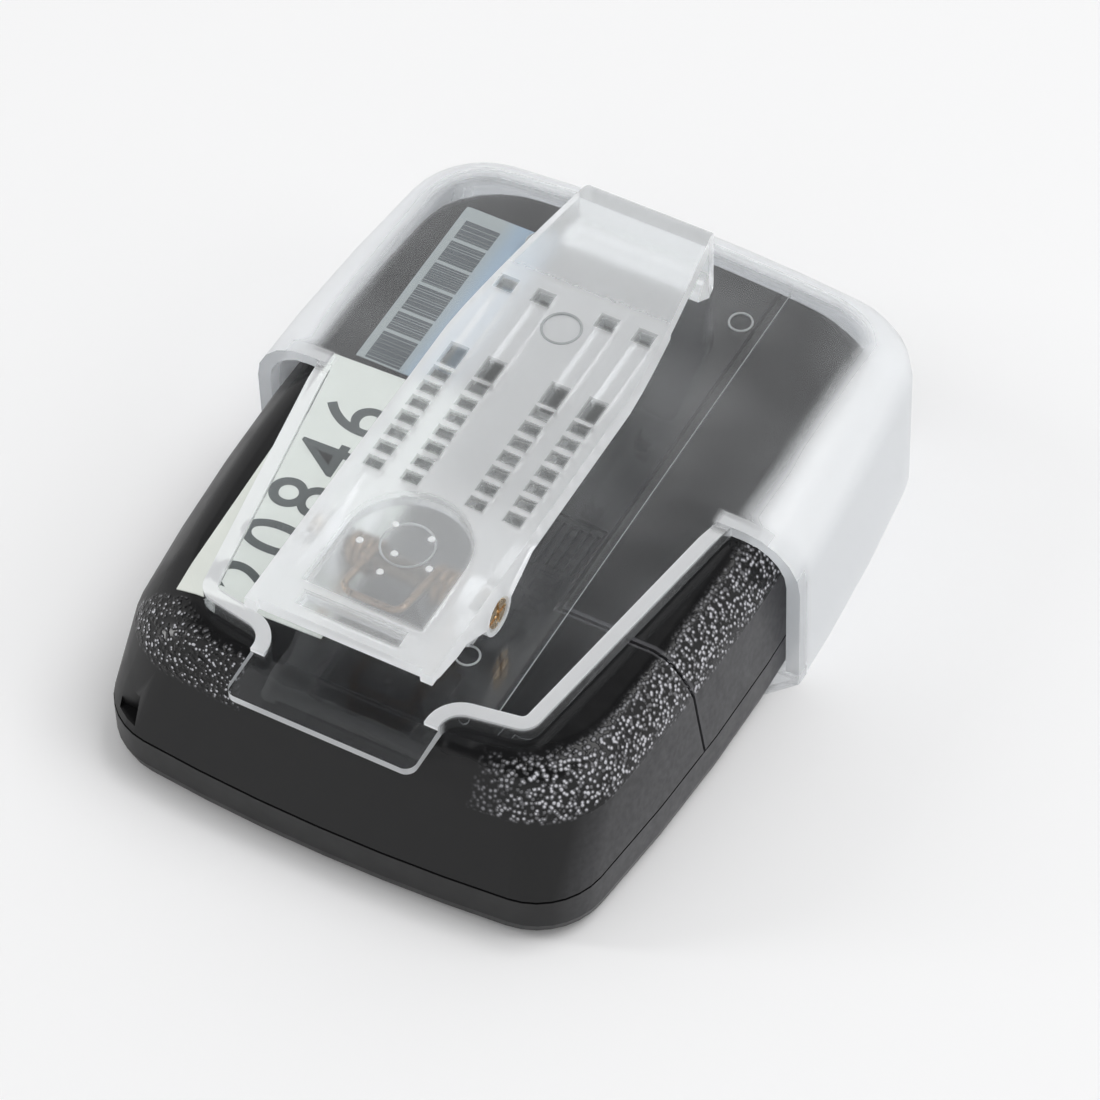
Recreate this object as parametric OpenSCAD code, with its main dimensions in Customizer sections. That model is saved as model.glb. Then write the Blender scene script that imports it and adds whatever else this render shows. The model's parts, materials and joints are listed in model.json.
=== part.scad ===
// Belt-worn radio receiver (alphanumeric pager) in a clear clip-on holster.
// The receiver lies face down: the face rests on Z = 0, the belt clip is on top.
// X runs across, Y runs along the clip from its thumb end (-Y) to its hook (+Y).

/* [Receiver] */
// Length of the receiver along Y
receiver_l = 76.6; // [75:0.1:84]
// Width of the receiver at its widest
receiver_w = 58.6; // [58:0.1:64]
// Thickness of the receiver, face to back
receiver_h = 18.7; // [18.2:0.1:22]
// Height of the parting line above the face
bezel_h = 6; // [5.8:0.1:7]
// Wall of the receiver's shells
shell_t = 1.4; // [1:0.1:1.8]
// Floor of the front housing behind the face
face_t = 1.8; // [1.5:0.1:2.2]
// Radius of the long bowed sides
side_r = 230; // [180:5:400]
// Radius of the bowed ends
end_r = 200; // [150:5:400]
// Corner radius at the parting line
corner_r = 7.5; // [4:0.5:9]

/* [Bevel round the back] */
// Height of the shoulder where the side walls turn into the bevel
shoulder_z = 14; // [12:0.1:15]
// How far the side walls lean in at the shoulder
side_lean = 1.1; // [0.5:0.1:3]
// How far the near end's wall leans in at the shoulder
end_lean = 3.4; // [1:0.1:5]
// How far the far end's wall leans in at the shoulder
far_lean = 1.6; // [0.5:0.1:3]
// Width of the bevel from shoulder to flat back
bevel_w = 4.4; // [2:0.1:6]
// Width of the bevel at the far end
far_bevel = 3; // [1.5:0.1:5]

/* [Battery door] */
// Length of the door, from the far end to its near seam
door_l = 51; // [49.5:0.1:52]
// Distance of the door's inner seam from the receiver's side
door_side = 16.5; // [16:0.1:17]
// Width of the seam round the door
seam_w = 0.35; // [0.2:0.05:0.6]
// Travel of the door latch
latch_travel = 2.2; // [1:0.1:2.6]

/* [Battery] */
// Diameter of the AAA cell
cell_d = 10.5; // [10:0.1:10.6]
// Length of the AAA cell, terminal included
cell_l = 44.5; // [43.5:0.1:44.6]
// Distance of the cell's axis from the receiver's side
cell_side = 12.1; // [11.8:0.1:12.4]

/* [Display and keys] */
// Distance from the receiver's side to the display window
window_side = 10.3; // [10:0.1:13]
// Height of the display window along Y
window_l = 16; // [12:0.5:18]
// Distance from the centre of the face to the centre of the window
window_y = 9; // [6:0.5:11]
// Width of a key cap
key_w = 7; // [6:0.5:8]
// Depth of a key cap along Y
key_l = 4.4; // [3.5:0.1:5.5]
// Distance from the receiver's side to the row of keys
key_side = 9.3; // [9:0.1:11]
// Distance from the near end to the row of keys
key_from_end = 13.5; // [12:0.5:16]
// Travel of a key
key_travel = 0.6; // [0.3:0.1:0.7]

/* [Holster] */
// Wall of the clear holster
holster_t = 1.5; // [1.2:0.1:2]
// Clearance between the receiver and the holster
holster_gap = 0.3; // [0.2:0.05:0.5]
// Thickness of the holster's back plate
plate_t = 1.3; // [1:0.1:2]
// Depth of the pocket that wraps round the receiver
wrap_l = 36.6; // [28:0.1:44]
// Radius of the long outer edges
edge_r = 6.2; // [4:0.1:7]
// Width of the lips that hook under the receiver's face
lip_w = 4.4; // [3:0.1:5]
// Thickness of those lips
lip_t = 1.2; // [1:0.1:1.3]
// Half width of the plate where the pocket begins
apex_x = 23.4; // [20:0.1:25]
// Half width of the plate at its near shoulders
shoulder_x = 18.5; // [16:0.1:22]
// Distance from the near end to the plate's near shoulders
shoulder_from_end = 9.4; // [7:0.1:14]
// Width of the tongue
tongue_w = 20.8; // [14:0.1:26]
// Distance from the near end to the tip of the tongue
tongue_from_end = 1.2; // [0.5:0.1:4]
// Height of the bead along the plate's free edges
bead_h = 0.6; // [0.2:0.1:1]
// Width of that bead
bead_w = 1.5; // [0.8:0.1:2]

/* [Clip] */
// Height of the clip's top above the plate
clip_rise = 8.7; // [8:0.1:11]
// Thickness of the clip blade
clip_t = 2.4; // [2:0.1:3]
// Width of the clip over its parallel part
clip_w = 20.6; // [19:0.1:22]
// Width of the clip at its hook end
hook_w = 14; // [10:0.1:18]
// Distance from the pivot to the thumb end
thumb_l = 12.9; // [11:0.1:15]
// Distance from the pivot to the hook end
blade_l = 50.5; // [40:0.1:54]
// Distance from the near end to the pivot
pivot_from_end = 19; // [17:0.1:22]
// Height of the pivot above the plate
pivot_rise = 3.9; // [3.2:0.1:4.2]
// Radius of the pivot pin
pin_r = 1.2; // [1:0.05:1.3]
// Radial clearance of the pin in its bores
pin_fit = 0.05; // [0.02:0.01:0.08]
// Diameter of the spring wire
wire_d = 0.8; // [0.6:0.05:0.9]

/* [Hidden] */
$fn = 48;
thin = 0.01;    // overlap that fuses two bodies of one piece
air = 0.3;      // ordinary clearance between loose pieces
seat = 0.05;    // gap between pieces that seat on each other
past = 1;       // how far a cutter runs past what it cuts

// Colours
clear = [0.86, 0.91, 0.95, 0.45];
frosted = [0.88, 0.9, 0.92, 0.7];
black = "#1b1b1d";

// The receiver is drawn about its own centre, then the whole object is moved to be centred
half_w = receiver_w / 2;
half_l = receiver_l / 2;
window_w = receiver_w - 2 * window_side;
key_pitch = (receiver_w - 2 * key_side - key_w) / 3;
door_x = half_w - door_side;
cell_x = half_w - cell_side;
near_y = -half_l;
far_y = half_l;
shift_y = -(holster_gap + holster_t) / 2;

// Receiver's shells
face_round = 2.4;       // rounding of the edge of the face
corner_grow = 0.4;      // how fast the plan corners open out as the ends lean in
bevel_flat = 0.4;       // bevel between an elliptical round (0) and a plain chamfer (1)
rib_t = 0.8;            // inner walls
part_groove = 0.35;     // depth of the groove at the parting line
part_gap = 0.2;         // its height
inner_z = receiver_h - shell_t;

// Heights of the holster's plate and of the clip
plate_z = receiver_h + holster_gap;
plate_top = plate_z + plate_t;
clip_top = plate_top + clip_rise;
clip_z = clip_top - clip_t;
pivot_y = near_y + pivot_from_end;
pivot_z = plate_top + pivot_rise;

// Holster's plan
wall_out = holster_gap + holster_t;
mouth_y = far_y + wall_out - wrap_l;
tip_y = near_y + tongue_from_end;
shoulder_y = near_y + shoulder_from_end;
lip_in = lip_w - wall_out;          // how far the lips reach in under the receiver's face
lip_nose = 3.8;                     // length of the lips' slanted noses before the pocket

// Battery, measured from the door's near seam
door_y = far_y - door_l;
cell_r = cell_d / 2;
cell_y = door_y + seam_w;
cell_end = cell_y + cell_l;
cradle_t = 0.9;
cradle_z = 5.65;
cell_z = cradle_z + 0.45 + cell_r + seat;
spring_l = 2.6;                     // compressed length of the negative contact

module in_frame() translate([0, shift_y, 0]) children();

// ---------- outlines and lofts ----------

// Centre of the corner arc that touches the bowed side and the bowed end
function corner_centre(w, l, rc) =
    let (ax = side_r - w,
         by = end_r - l,
         ra = side_r - rc,
         rb = end_r - rc,
         d = norm([ax, by]),
         along = (ra * ra - rb * rb + d * d) / (2 * d),
         off = sqrt(ra * ra - along * along))
    [-ax, 0] + along * [ax, -by] / d + off * [by, ax] / d;

// Points of an arc, its end left out
function arc(centre, r, from, to, steps) =
    [for (i = [0:steps - 1]) let (a = from + (to - from) * i / steps) centre + r * [cos(a), sin(a)]];

function quadrant(w, l, rc) =
    let (c = corner_centre(w, l, rc),
         side_end = atan2(c[1], c[0] + side_r - w),
         end_start = atan2(c[1] + end_r - l, c[0]))
    concat(arc([w - side_r, 0], side_r, 0, side_end, 3),
           arc(c, rc, side_end, end_start, 7),
           arc([0, l - end_r], end_r, end_start, 90, 3));

// Closed outline with bowed sides and ends, half width w, half length l, corner radius rc
function outline(w, l, rc) =
    let (q = quadrant(w, l, rc),
         far_half = concat(q, [[0, l]], [for (i = [len(q) - 1:-1:1]) [-q[i][0], q[i][1]]]))
    concat(far_half, [for (p = far_half) -p]);

// Closed solid through rings of n points each, counter-clockwise seen from its far end
module skinned(rings, n) {
    count = len(rings) / n;
    polyhedron(rings, concat(
        [[for (k = [0:n - 1]) k]],
        [for (i = [0:count - 2], k = [0:n - 1]) let (a = i * n + k, b = i * n + (k + 1) % n) [a, b + n, b]],
        [for (i = [0:count - 2], k = [0:n - 1]) let (a = i * n + k, b = i * n + (k + 1) % n) [a, a + n, b + n]],
        [[for (k = [n - 1:-1:0]) (count - 1) * n + k]]));
}

// Loft through outlines; layers are [height, half width, half length, corner radius, shift along Y]
module loft(layers) {
    rings = [for (s = layers, p = outline(s[1], s[2], s[3])) [p[0], p[1] + s[4], s[0]]];
    skinned(rings, len(rings) / len(layers));
}

// A layer of the receiver, its sides and its near and far ends moved in
function layer(z, side_in, near_in, far_in, wall = 0) =
    [z, half_w - side_in - wall, half_l - (near_in + far_in) / 2 - wall,
     max(1, corner_r + corner_grow * near_in - wall), (near_in - far_in) / 2];

// How far a bevel of width w has moved in at the share s of its height
function bevel_in(w, s) = w * (bevel_flat * s + (1 - bevel_flat) * (1 - sqrt(1 - s * s)));

// Layers from the parting line to the back, wall mm inside the skin
function back_layers(wall, shares) = concat(
    [layer(bezel_h - (wall > 0 ? past : 0), 0, 0, 0, wall)],
    [for (s = shares) layer(shoulder_z + (receiver_h - wall - shoulder_z) * s,
                            side_lean + bevel_in(bevel_w, s), end_lean + bevel_in(bevel_w, s),
                            far_lean + bevel_in(far_bevel, s), wall)]);

module back_solid() loft(back_layers(0, [0, 0.3, 0.55, 0.75, 0.9, 1]));
module back_cavity() loft(back_layers(shell_t, [0, 0.4, 0.75, 1]));

// A skin of thickness t on the back, cut to a plan outline
module back_skin(t) intersection() {
    difference() {
        loft(back_layers(-t, [0, 0.3, 0.55, 0.75, 0.9, 1]));
        back_solid();
    }
    translate([0, 0, shoulder_z]) linear_extrude(receiver_h) children();
}

module front_solid() loft([
    for (a = [0, 30, 60, 90]) let (in = face_round * (1 - sin(a))) layer(face_round * (1 - cos(a)), in, in, in),
    layer(bezel_h, 0, 0, 0)]);

// A layer of the holster's skin, out mm outside the receiver and in mm in from there
function holster_layer(z, out, in) = [z, half_w + out - in, half_l + out - in, corner_r + out - in / 2, 0];

// The holster's body: upright walls and a round of radius r up to the height top
module holster_body(out, r, bottom, top) loft(concat(
    [holster_layer(bottom, out, 0)],
    [for (a = [0:18:90]) holster_layer(top - r * (1 - sin(a)), out, r * (1 - cos(a)))]));

module box(x0, x1, y0, y1, z0, z1) translate([x0, y0, z0]) cube([x1 - x0, y1 - y0, z1 - z0]);

// Plan rectangle with round corners about its centre
module pad(w, l, r) {
    square([w - 2 * r, l], center = true);
    square([w, l - 2 * r], center = true);
    for (x = [-1, 1], y = [-1, 1]) translate([x * (w / 2 - r), y * (l / 2 - r)]) circle(r);
}

module both_sides() {
    children();
    mirror([1, 0, 0]) children();
}

// ---------- holster ----------

lug_t = 1.4;        // thickness of a lug
lug_r = 2.1;        // round of a lug about the pin
ear_t = 1.6;        // thickness of a clip ear
ear_r = 2.4;        // round of an ear about the pin
pin_head_r = pin_r + 0.4;
pin_head_t = 0.5;
ear_out = clip_w / 2 - 0.1;
ear_in = ear_out - ear_t;
lug_in = ear_in - air - lug_t;      // inner face of a lug
head_x = ear_out - 0.1 - pin_head_t;    // inner face of the pin's peened head
mark_r = 1.2;       // ejector marks
mark_d = 0.15;

shoulder_rise = 0.7;    // how much the shoulders slope outwards and back
tip_r = 1.2;            // corners of the tongue's tip
plan_r = 2.2;           // the plate's other corners

module half_plate() polygon([
    [0, tip_y + 3], [tongue_w / 2, tip_y + 3],
    [tongue_w / 2, shoulder_y - shoulder_rise], [shoulder_x, shoulder_y + shoulder_rise],
    [apex_x, mouth_y], [apex_x, mouth_y + 2 * edge_r], [0, mouth_y + 2 * edge_r]]);

module plate_plan() {
    offset(plan_r) offset(-2 * plan_r) offset(plan_r) both_sides() half_plate();
    translate([0, tip_y + plan_r + 3]) pad(tongue_w, 2 * plan_r + 6, tip_r);
}

// Raised bead along the plate's free edges, from the tongue's root to the pocket
module plate_bead() translate([0, 0, plate_top - seat]) linear_extrude(bead_h + seat) intersection() {
    difference() {
        plate_plan();
        offset(-bead_w) plate_plan();
    }
    translate([-half_w, shoulder_y - 3]) square([receiver_w, mouth_y - shoulder_y + 3]);
}

module lug() translate([lug_in, 0, 0]) rotate([90, 0, 90]) linear_extrude(lug_t) {
    translate([pivot_y, pivot_z]) circle(lug_r);
    polygon([[pivot_y - lug_r - 1, plate_top - seat], [pivot_y - lug_r, pivot_z],
             [pivot_y + lug_r, pivot_z], [pivot_y + lug_r + 1.6, plate_top + 1.2],
             [pivot_y + 7.8, plate_top + 1], [pivot_y + 7.8, plate_top - seat]]);
}

module pin_bore(r) translate([-half_w, pivot_y, pivot_z]) rotate([0, 90, 0]) cylinder(r = r, h = receiver_w);

module holster_shell() color(clear) in_frame() difference() {
    union() {
        intersection() {
            holster_body(wall_out, edge_r, 0, plate_top);
            box(-receiver_w, receiver_w, mouth_y, receiver_l, 0, clip_top);
        }
        translate([0, 0, plate_z]) linear_extrude(plate_t) plate_plan();
        plate_bead();
        both_sides() {
            lug();
            lip_nose();
        }
    }
    difference() {
        holster_body(holster_gap, edge_r - holster_t, lip_t, plate_z);
        box(-receiver_w, receiver_w, near_y - past, mouth_y - past, 0, clip_top);
    }
    face_opening();
    pin_bore(pin_r + 0.02);
    tongue_taper();
    both_sides() translate([0, 0, plate_top - mark_d]) {
        translate([11.7, mouth_y + 24.2]) cylinder(r = mark_r, h = past);
        translate([8.4, shoulder_y + 6.4]) cylinder(r = mark_r, h = past);
    }
}

// Opening in the pocket's bottom that shows the receiver's face
module face_opening() translate([0, 0, -past]) linear_extrude(past + lip_t + past)
    polygon(outline(half_w - lip_in, half_l - lip_in, corner_r));

// Slanted nose of a lip, which leads the receiver in
module lip_nose() linear_extrude(lip_t) offset(0.6) offset(-0.6) polygon([
    [half_w - lip_in, mouth_y + 2], [half_w - lip_in, mouth_y - lip_nose],
    [half_w - lip_in + 1, mouth_y - lip_nose], [half_w + wall_out, mouth_y], [half_w + wall_out, mouth_y + 2]]);

// The tongue thins towards its tip
module tongue_taper() translate([-half_w, 0, 0]) rotate([90, 0, 90]) linear_extrude(receiver_w) polygon([
    [tip_y - past, plate_top - 0.5], [shoulder_y - 3, plate_top],
    [shoulder_y - 3, plate_top + past], [tip_y - past, plate_top + past]]);

module pivot_pin() color("#a8864a") in_frame() translate([0, pivot_y, pivot_z]) both_sides() rotate([0, 90, 0]) {
    translate([0, 0, -thin]) cylinder(r = pin_r, h = head_x + 2 * thin);
    translate([0, 0, head_x]) difference() {
        cylinder(r = pin_head_r, h = pin_head_t);
        translate([0, 0, pin_head_t - 0.25]) for (a = [0, 90]) rotate(a) translate([-2, -0.2, 0]) cube([4, 0.4, 1]);
    }
}

// Double torsion spring: feet on the plate, coils round the pin, a bridge under the thumb pad
wire_r = wire_d / 2;
coil_r = pin_r + 0.15 + wire_r;
coil_pitch = wire_d + 0.05;
coil_turns = 2;
bridge_y = pivot_y - 6.9;
foot_y = pivot_y - 6.6;
pocket_z = clip_top - 1.2;      // ceiling of the clip's thumb pocket
bridge_z = pocket_z - wire_r - seat;
foot_z = plate_top + wire_r + seat;
bend_r = 1.2;

// Angle at which a line from the point [y, z] touches the coil, on its upper or lower side
function touch(p, upper) =
    let (v = p - [pivot_y, pivot_z], a = atan2(v[1], v[0]), d = acos(coil_r / norm(v)))
    upper ? a - d : a + d;
coil_from = touch([bridge_y, bridge_z], true);
coil_to = touch([foot_y, foot_z], false) - 360 * (coil_turns + 1);
coil_sweep = coil_from - coil_to;
coil_out = lug_in - wire_r - 0.25;
coil_in = coil_out - coil_pitch * coil_sweep / 360;
coil_steps = round(coil_sweep / 22);

// Half of the spring's centre line, from the middle of the bridge to the tip of a foot
half_spring = concat(
    [[0, bridge_y, bridge_z]],
    [for (a = [-90:22.5:0]) [coil_in - bend_r + bend_r * cos(a), bridge_y + bend_r + bend_r * sin(a), bridge_z]],
    [for (i = [0:coil_steps]) let (a = coil_from - coil_sweep * i / coil_steps)
        [coil_in + (coil_out - coil_in) * i / coil_steps, pivot_y + coil_r * cos(a), pivot_z + coil_r * sin(a)]],
    [[coil_out, foot_y, foot_z]]);
spring_line = concat([for (i = [len(half_spring) - 1:-1:1]) [-half_spring[i][0], half_spring[i][1], half_spring[i][2]]],
                     half_spring);

function unit(v) = v / norm(v);
function tangent(line, i) = unit(line[min(i + 1, len(line) - 1)] - line[max(i - 1, 0)]);
function square_to(v, t) = unit(v - t * (v * t));
function normals(line) =
    [for (i = 0, n = square_to([0.31, 0.17, 0.93], tangent(line, 0)); i < len(line);
          i = i + 1, n = i < len(line) ? square_to(n, tangent(line, i)) : n) n];

// Round bar of radius r swept along a line, with the given number of sides
module bar(line, r, sides) {
    n = normals(line);
    rings = [for (i = [0:len(line) - 1]) let (b = cross(tangent(line, i), n[i]))
        for (k = [0:sides - 1]) line[i] + r * (cos(360 * k / sides) * n[i] + sin(360 * k / sides) * b)];
    skinned(rings, sides);
}

module clip_spring() color("#8a6a3c") in_frame() bar(spring_line, wire_r, 8);

// ---------- clip ----------

thumb_y = pivot_y - thumb_l;
hook_y = pivot_y + blade_l;
taper_y = mouth_y + 3.5;        // where the blade starts to narrow
pad_y = hook_y - 13.6;          // step before the thin smooth pad
pad_thin = 0.5;
groove_w = 1.9;
groove_d = clip_t - 1;
groove_in = 3.6;        // places of the grooves across the blade
groove_out = clip_w / 2 - 2.5;
groove_far = pad_y - 1.9;
groove_near = groove_far - 13;
pocket_pitch = 2.15;
pocket_l = 1.35;
pockets = 7;
thumb_pocket_w = 13;
thumb_pocket_l = 8;
thumb_thin = 1;         // the thumb end thins towards its edge
thumb_ramp = 5;
hook_r = 2;             // round of the bend into the hook
rim_w = 1.3;
rim_l = 0.5;
nub_r = 0.45;
nub_h = 0.2;
hook_h = clip_top - plate_top - 0.1;

function clip_half(y) = clip_w / 2 - (clip_w - hook_w) / 2 * pow(max(0, (y - taper_y) / (hook_y - taper_y)), 1.3);

module clip_plan() offset(1) offset(-1) polygon(concat(
    [for (i = [0:8]) let (y = taper_y + (hook_y - taper_y) * i / 8) [clip_half(y), y]],
    [for (i = [8:-1:0]) let (y = taper_y + (hook_y - taper_y) * i / 8) [-clip_half(y), y]],
    [[-clip_w / 2, thumb_y + rim_l], [clip_w / 2, thumb_y + rim_l]]));

// Side view of the blade and its hook
module clip_profile() {
    polygon([[thumb_y, clip_z + thumb_thin], [thumb_y + thumb_ramp, clip_z], [pad_y, clip_z], [pad_y, clip_z + pad_thin],
             [hook_y - 2.2, clip_z + pad_thin], [hook_y - 2.2, clip_top - 5],
             [hook_y - 4.2, clip_top - 4.6], [hook_y - 5.6, clip_top - 5.6],
             [hook_y - 2.2, clip_top - hook_h], [hook_y - 0.9, clip_top - hook_h],
             [hook_y, clip_top - 5],
             for (a = [0:15:90]) [hook_y - hook_r + hook_r * cos(a), clip_top - hook_r + hook_r * sin(a)],
             [thumb_y, clip_top]]);
}

module clip_extrude() rotate([90, 0, 90]) linear_extrude(clip_w + 2, center = true) children();

module ear() translate([ear_in, 0, 0]) rotate([90, 0, 90]) linear_extrude(ear_t) {
    translate([pivot_y, pivot_z]) circle(ear_r);
    polygon([[pivot_y - ear_r, pivot_z], [pivot_y - ear_r - 4.2, clip_z + seat],
             [pivot_y + ear_r + 5, clip_z + seat], [pivot_y + ear_r, pivot_z]]);
}

module thumb_pocket() translate([0, 0, clip_z - past]) linear_extrude(pocket_z - clip_z + past) {
    translate([0, pivot_y]) circle(thumb_pocket_w / 2);
    translate([-thumb_pocket_w / 2, pivot_y - thumb_pocket_l]) square([thumb_pocket_w, thumb_pocket_l]);
}

module clip_lever() color(frosted) in_frame() difference() {
    union() {
        intersection() {
            translate([0, 0, plate_top]) linear_extrude(clip_rise) clip_plan();
            clip_extrude() clip_profile();
        }
        both_sides() {
            ear();
            box(clip_w / 2 - rim_w, clip_w / 2, thumb_y, thumb_y + 2, clip_z + thumb_thin, clip_top);
        }
        thumb_nubs();
    }
    thumb_pocket();
    translate([0, pivot_y + 0.5, pocket_z - seat]) cylinder(r = 2.7, h = 0.2);
    translate([0, mouth_y + 8.4, clip_top - mark_d]) cylinder(r = 2, h = past);
    box(-5.5, 5.5, thumb_y + 1.8, thumb_y + 3.6, clip_z - past, clip_z + 1.4);
    both_sides() for (x = [groove_in, groove_out]) groove(x);
    pin_bore(pin_r + pin_fit);
    both_sides() translate([head_x - seat, pivot_y, pivot_z]) rotate([0, 90, 0]) cylinder(r = pin_head_r + air, h = ear_t);
}

// A long groove in the blade's underside, then a row of pockets
module groove(x) translate([x, 0, clip_z - past]) {
    translate([-groove_w / 2, groove_near, 0]) cube([groove_w, groove_far - groove_near, groove_d + past]);
    for (i = [1:pockets]) translate([-groove_w / 2, groove_near - pocket_pitch * i, 0])
        cube([groove_w, pocket_l, groove_d + past]);
}

module thumb_nubs() for (p = [[-2, 1.7], [2, 1.7], [-4.1, -1.6], [-0.3, -1.5], [3.6, -1.6], [-0.4, -4.1]])
    translate([p[0], pivot_y + p[1], clip_top - seat]) cylinder(r1 = nub_r, r2 = nub_r * 0.6, h = nub_h + seat, $fn = 24);

// ---------- receiver's case ----------

// Battery bay: right of the partition and behind the cross wall
bay_x = cell_x - cell_r - cradle_t - 2 * air;     // partition's face towards the cell
bay_y = cell_y - spring_l - cradle_t - 2 * air;   // cross wall's face towards the cell

// Screws, in the plane of the main board
screw_x = half_w - 6.7;
screw_near = near_y + 8.3;
screw_far = far_y - 9.3;
screw_at = [[-screw_x, screw_near], [screw_x, screw_near], [-screw_x, screw_far], [4, screw_far]];
screw_r = 0.8;
boss_r = 2.2;
board_z = 4.6;
board_t = 1;
board_top = board_z + board_t;

window_round = 1.5;
window_rim = 1;         // how far the lens reaches past the window
lens_t = 0.85;
lens_sunk = 0.3;
lcd_w = window_w + 4;
lcd_l = window_l + 4;
lcd_t = 1.5;
lcd_z = face_t + 0.3;
frame_rim = 2;
key_y = near_y + key_from_end;
key_sunk = 0.3;
key_flange = 0.8;
led_y = key_y + 11.5;
led_r = 1.5;
weight_r = 2.8;
weight_l = 3;

module key_plan(i, grow) translate([(i - 1.5) * key_pitch, key_y])
    pad(key_w + 2 * grow, key_l + 2 * grow, 1 + grow);

// The face's recess that the holster's lips slide in, open at the far end
module lip_recess() difference() {
    box(-receiver_w, receiver_w, mouth_y - lip_nose - air, receiver_l, -past, lip_t + air);
    translate([0, 0, -2 * past]) linear_extrude(lip_t + 4 * past)
        polygon(outline(half_w - lip_in - air, half_l - lip_in - air, corner_r));
}

// The front's hollow; its floor is sloped up over the recess for the lips
floor_in = lip_in + 3;
floor_rise = 1.4;
module front_cavity() loft([
    layer(face_t, floor_in, floor_in, floor_in),
    layer(face_t + floor_rise, shell_t, shell_t, shell_t),
    layer(bezel_h + past, shell_t, shell_t, shell_t)]);

module front_housing() color(black) in_frame() difference() {
    union() {
        difference() {
            front_solid();
            front_cavity();
        }
        for (p = screw_at) translate([p[0], p[1], face_t - thin]) cylinder(r = boss_r, h = board_z - face_t + thin - seat);
    }
    lip_recess();
    translate([0, window_y, -past]) {
        linear_extrude(receiver_h / 2) pad(window_w, window_l, window_round);
        linear_extrude(past + lens_sunk + lens_t + seat)
            pad(window_w + 2 * window_rim + 0.2, window_l + 2 * window_rim + 0.2, window_round + window_rim);
    }
    translate([0, 0, -past]) for (i = [0:3]) linear_extrude(face_t + 2 * past) key_plan(i, 0.15);
    translate([0, led_y, -past]) cylinder(r = led_r + 0.1, h = face_t + 2 * past);
    for (p = screw_at) translate([p[0], p[1], face_t]) cylinder(r = screw_r + 0.03, h = board_z);
    lanyard_slot();
}

// Slot in the near left corner for a safety cord: two windows with a post between them
module lanyard_slot() for (a = [0, 1]) translate([-half_w + 3.2, near_y + 2.4, bezel_h + 2.4])
    mirror([a, a, 0]) translate([1.6, -4, -1.5]) cube([2.6, 4 + shell_t, 3]);

// Where the battery door is let into the back, grown by a clearance
module door_zone(grow) box(door_x - grow, receiver_w, door_y - grow, receiver_l, bezel_h - past, receiver_h + past);

latch_x0 = door_x - 7.3;
latch_y0 = door_y + 3.7;
latch_l = 7;
latch_w = 6.9;
latch_top = receiver_h - 0.15;
bolt_l = 1.9;           // how far the bolt reaches under the door
bolt_z = inner_z - 1.1;

module rear_housing() color(black) in_frame() difference() {
    union() {
        difference() {
            back_solid();
            back_cavity();
        }
        intersection() {
            back_cavity();
            union() {
                box(bay_x - rib_t, bay_x, bay_y - rib_t, far_y, bezel_h, receiver_h);
                box(bay_x - rib_t, receiver_w, bay_y - rib_t, bay_y, bezel_h, receiver_h);
            }
        }
    }
    door_zone(0);
    part_groove_ring();
    lanyard_slot();
    // Window and travel of the latch
    box(latch_x0 - latch_travel - 0.15, latch_x0 + latch_w + 0.15, latch_y0 - 0.15, latch_y0 + latch_l + 0.15,
        inner_z - past, receiver_h + past);
    // The bolt and its carrier run below the back, above the partition
    box(latch_x0 - latch_travel - 1.1, door_x + past, latch_y0 - 0.75, latch_y0 + latch_l + 0.75,
        bolt_z - 0.1, inner_z - thin);
}

// Groove round the parting line, cut from the back's lower edge
module part_groove_ring() translate([0, 0, bezel_h - past]) difference() {
    linear_extrude(past + part_gap) square([2 * receiver_w, 2 * receiver_l], center = true);
    translate([0, 0, -past]) linear_extrude(3 * past)
        polygon(outline(half_w - part_groove, half_l - part_groove, corner_r));
}

module battery_door() color(black) in_frame() difference() {
    intersection() {
        difference() {
            back_solid();
            back_cavity();
        }
        door_zone(-seam_w);
    }
    part_groove_ring();
    // Keeper for the bolt, let into the door's inner edge
    box(door_x, door_x + bolt_l + 0.2, latch_y0 + 0.8, latch_y0 + latch_l - 0.8, bolt_z - past, inner_z + 0.1);
}

module door_latch() color("#222226") in_frame() difference() {
    union() {
        box(latch_x0, latch_x0 + latch_w, latch_y0, latch_y0 + latch_l, bolt_z + seat, latch_top);
        box(latch_x0 - 0.8, latch_x0 + latch_w - 0.2, latch_y0 - 0.6, latch_y0 + latch_l + 0.6,
            bolt_z + seat, inner_z - 0.1);
        box(latch_x0, door_x + bolt_l, latch_y0 + 1, latch_y0 + latch_l - 1, bolt_z + seat, inner_z - 0.1);
    }
    for (i = [0:6]) translate([latch_x0 + 0.6 + i * 0.95, latch_y0 + 0.7, latch_top - 0.4])
        cube([0.45, latch_l - 1.4, 1]);
}

// ---------- face: display and keys ----------

module display_lens() color([0.3, 0.33, 0.3, 0.7]) in_frame() translate([0, window_y, lens_sunk])
    linear_extrude(lens_t) pad(window_w + 2 * window_rim, window_l + 2 * window_rim, window_round + window_rim - 0.1);

module display_gasket() color("#303032") in_frame() translate([0, window_y, face_t]) linear_extrude(lcd_z - face_t) difference() {
    pad(lcd_w, lcd_l, 1);
    pad(window_w + 1, window_l + 1, window_round);
}

module lcd_panel() color("#9fae9b") in_frame() translate([-lcd_w / 2, window_y - lcd_l / 2, lcd_z])
    cube([lcd_w, lcd_l, lcd_t]);

strip_w = 1.2;
strip_inset = 0.4;

module contact_strips() color("#3a3a40") in_frame() for (s = [-1, 1])
    translate([-lcd_w / 2 + 2, window_y + s * (lcd_l / 2 - strip_inset - strip_w / 2) - strip_w / 2, lcd_z + lcd_t])
        cube([lcd_w - 4, strip_w, board_z - lcd_z - lcd_t]);

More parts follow.
